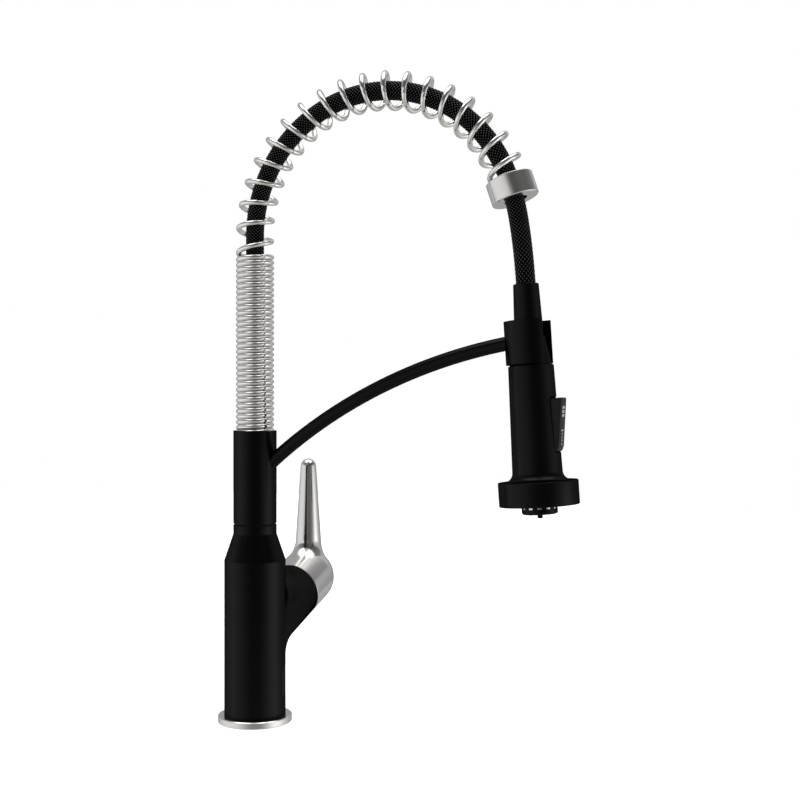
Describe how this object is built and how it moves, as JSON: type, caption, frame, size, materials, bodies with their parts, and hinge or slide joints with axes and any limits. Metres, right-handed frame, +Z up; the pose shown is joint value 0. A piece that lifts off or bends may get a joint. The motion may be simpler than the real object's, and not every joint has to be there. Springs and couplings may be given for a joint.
{
  "type": "spring neck kitchen faucet",
  "caption": "Spring-neck pull-down kitchen faucet with a swivelling spout, side lever, support arm and two-mode spray head.",
  "frame": {"origin": "on the body's vertical axis at the deck, in the plane of the base ring's underside", "axes": "+Z up along the body, +X towards the spout and spray head, +Y towards the handle"},
  "size_m": [0.2766, 0.138, 0.479],
  "materials": {
    "black_body": "matte powder coat",
    "brushed_steel": "brushed stainless",
    "spring_wire": "drawn, satin polished wire",
    "black_hose": "braided nylon sleeve",
    "head_plastic": "matte",
    "rocker_plastic": "satin",
    "window_gloss": "smooth tinted",
    "brass": "machined",
    "rubber": "matte",
    "white_nylon": "moulded",
    "ceramic": "lapped ceramic",
    "screw_steel": "plain stainless"
  },
  "bodies": {
    "base": {"base_ring": "brushed_steel", "base_gasket": "rubber", "body_shell": "black_body", "handle_hub": "black_body", "sensor_window": "window_gloss", "valve_block": "brass", "cartridge_body": "white_nylon", "fixed_disc": "ceramic", "cartridge_nut": "brass", "hose_ferrule": "brass", "swivel_stem": "brass", "thrust_washer": "rubber", "lower_bushing": "white_nylon", "upper_bushing": "white_nylon", "swivel_o_rings": "rubber", "stem_circlip": "screw_steel"},
    "mixer": {"turning_disc": "ceramic"},
    "handle": {"handle_lever": "brushed_steel", "cartridge_stem": "brass", "handle_set_screw": "screw_steel", "index_plug": "head_plastic"},
    "spout": {"swivel_sleeve": "black_body", "sleeve_set_screw": "screw_steel", "spring_anchor": "brass", "support_spring": "spring_wire", "spring_collar": "brushed_steel", "collar_grommet": "rubber", "spray_hose": "black_hose", "support_arm": "black_body", "holder_clip": "black_body", "clip_screw": "screw_steel"},
    "spray_head": {"hose_nut": "head_plastic", "hose_coupling": "brass", "hose_washer": "rubber", "head_shell": "head_plastic", "waterway_tube": "white_nylon", "check_valve": "white_nylon", "distributor": "white_nylon", "jet_plate": "rubber", "nozzle_housing": "head_plastic", "nozzle_ring": "brushed_steel", "aerator_insert": "head_plastic", "centre_pin": "head_plastic", "rocker_pin": "screw_steel"},
    "rocker": {"rocker_button": "rocker_plastic"},
    "diverter": {"diverter_spool": "white_nylon"}
  },
  "joints": [
    {"name": "spout_swivel", "type": "hinge", "parent": "base", "child": "spout", "pos_m": [0, 0, 0.1482], "axis": [0, 0, 1], "range_deg": [-90, 90]},
    {"name": "handle_temperature", "type": "hinge", "parent": "base", "child": "mixer", "pos_m": [0, 0, 0.0683], "axis": [0, 0.9511, 0.309], "range_deg": [-45, 45]},
    {"name": "handle_flow", "type": "hinge", "parent": "mixer", "child": "handle", "pos_m": [0, 0.06963, 0.06727], "axis": [-1, 0, 0], "range_deg": [0, 18]},
    {"name": "head_pull", "type": "slide", "parent": "spout", "child": "spray_head", "axis": [0.0637, 0, -0.998], "range_m": [0, 0.04], "stiffness_N_per_m": 60, "springref_m": -0.1, "deforming": ["spray_hose"]},
    {"name": "rocker_tilt", "type": "hinge", "parent": "spray_head", "child": "rocker", "pos_m": [0.22963, 0, 0.22404], "axis": [0, -1, 0], "range_deg": [0, 7]},
    {"name": "diverter_slide", "type": "slide", "parent": "spray_head", "child": "diverter", "axis": [-0.0637, 0, 0.998], "range_m": [0, 0.0016]}
  ],
  "couplings": [
    {"joint": "diverter_slide", "follows": "rocker_tilt", "m_per_rad": 0.012}
  ]
}
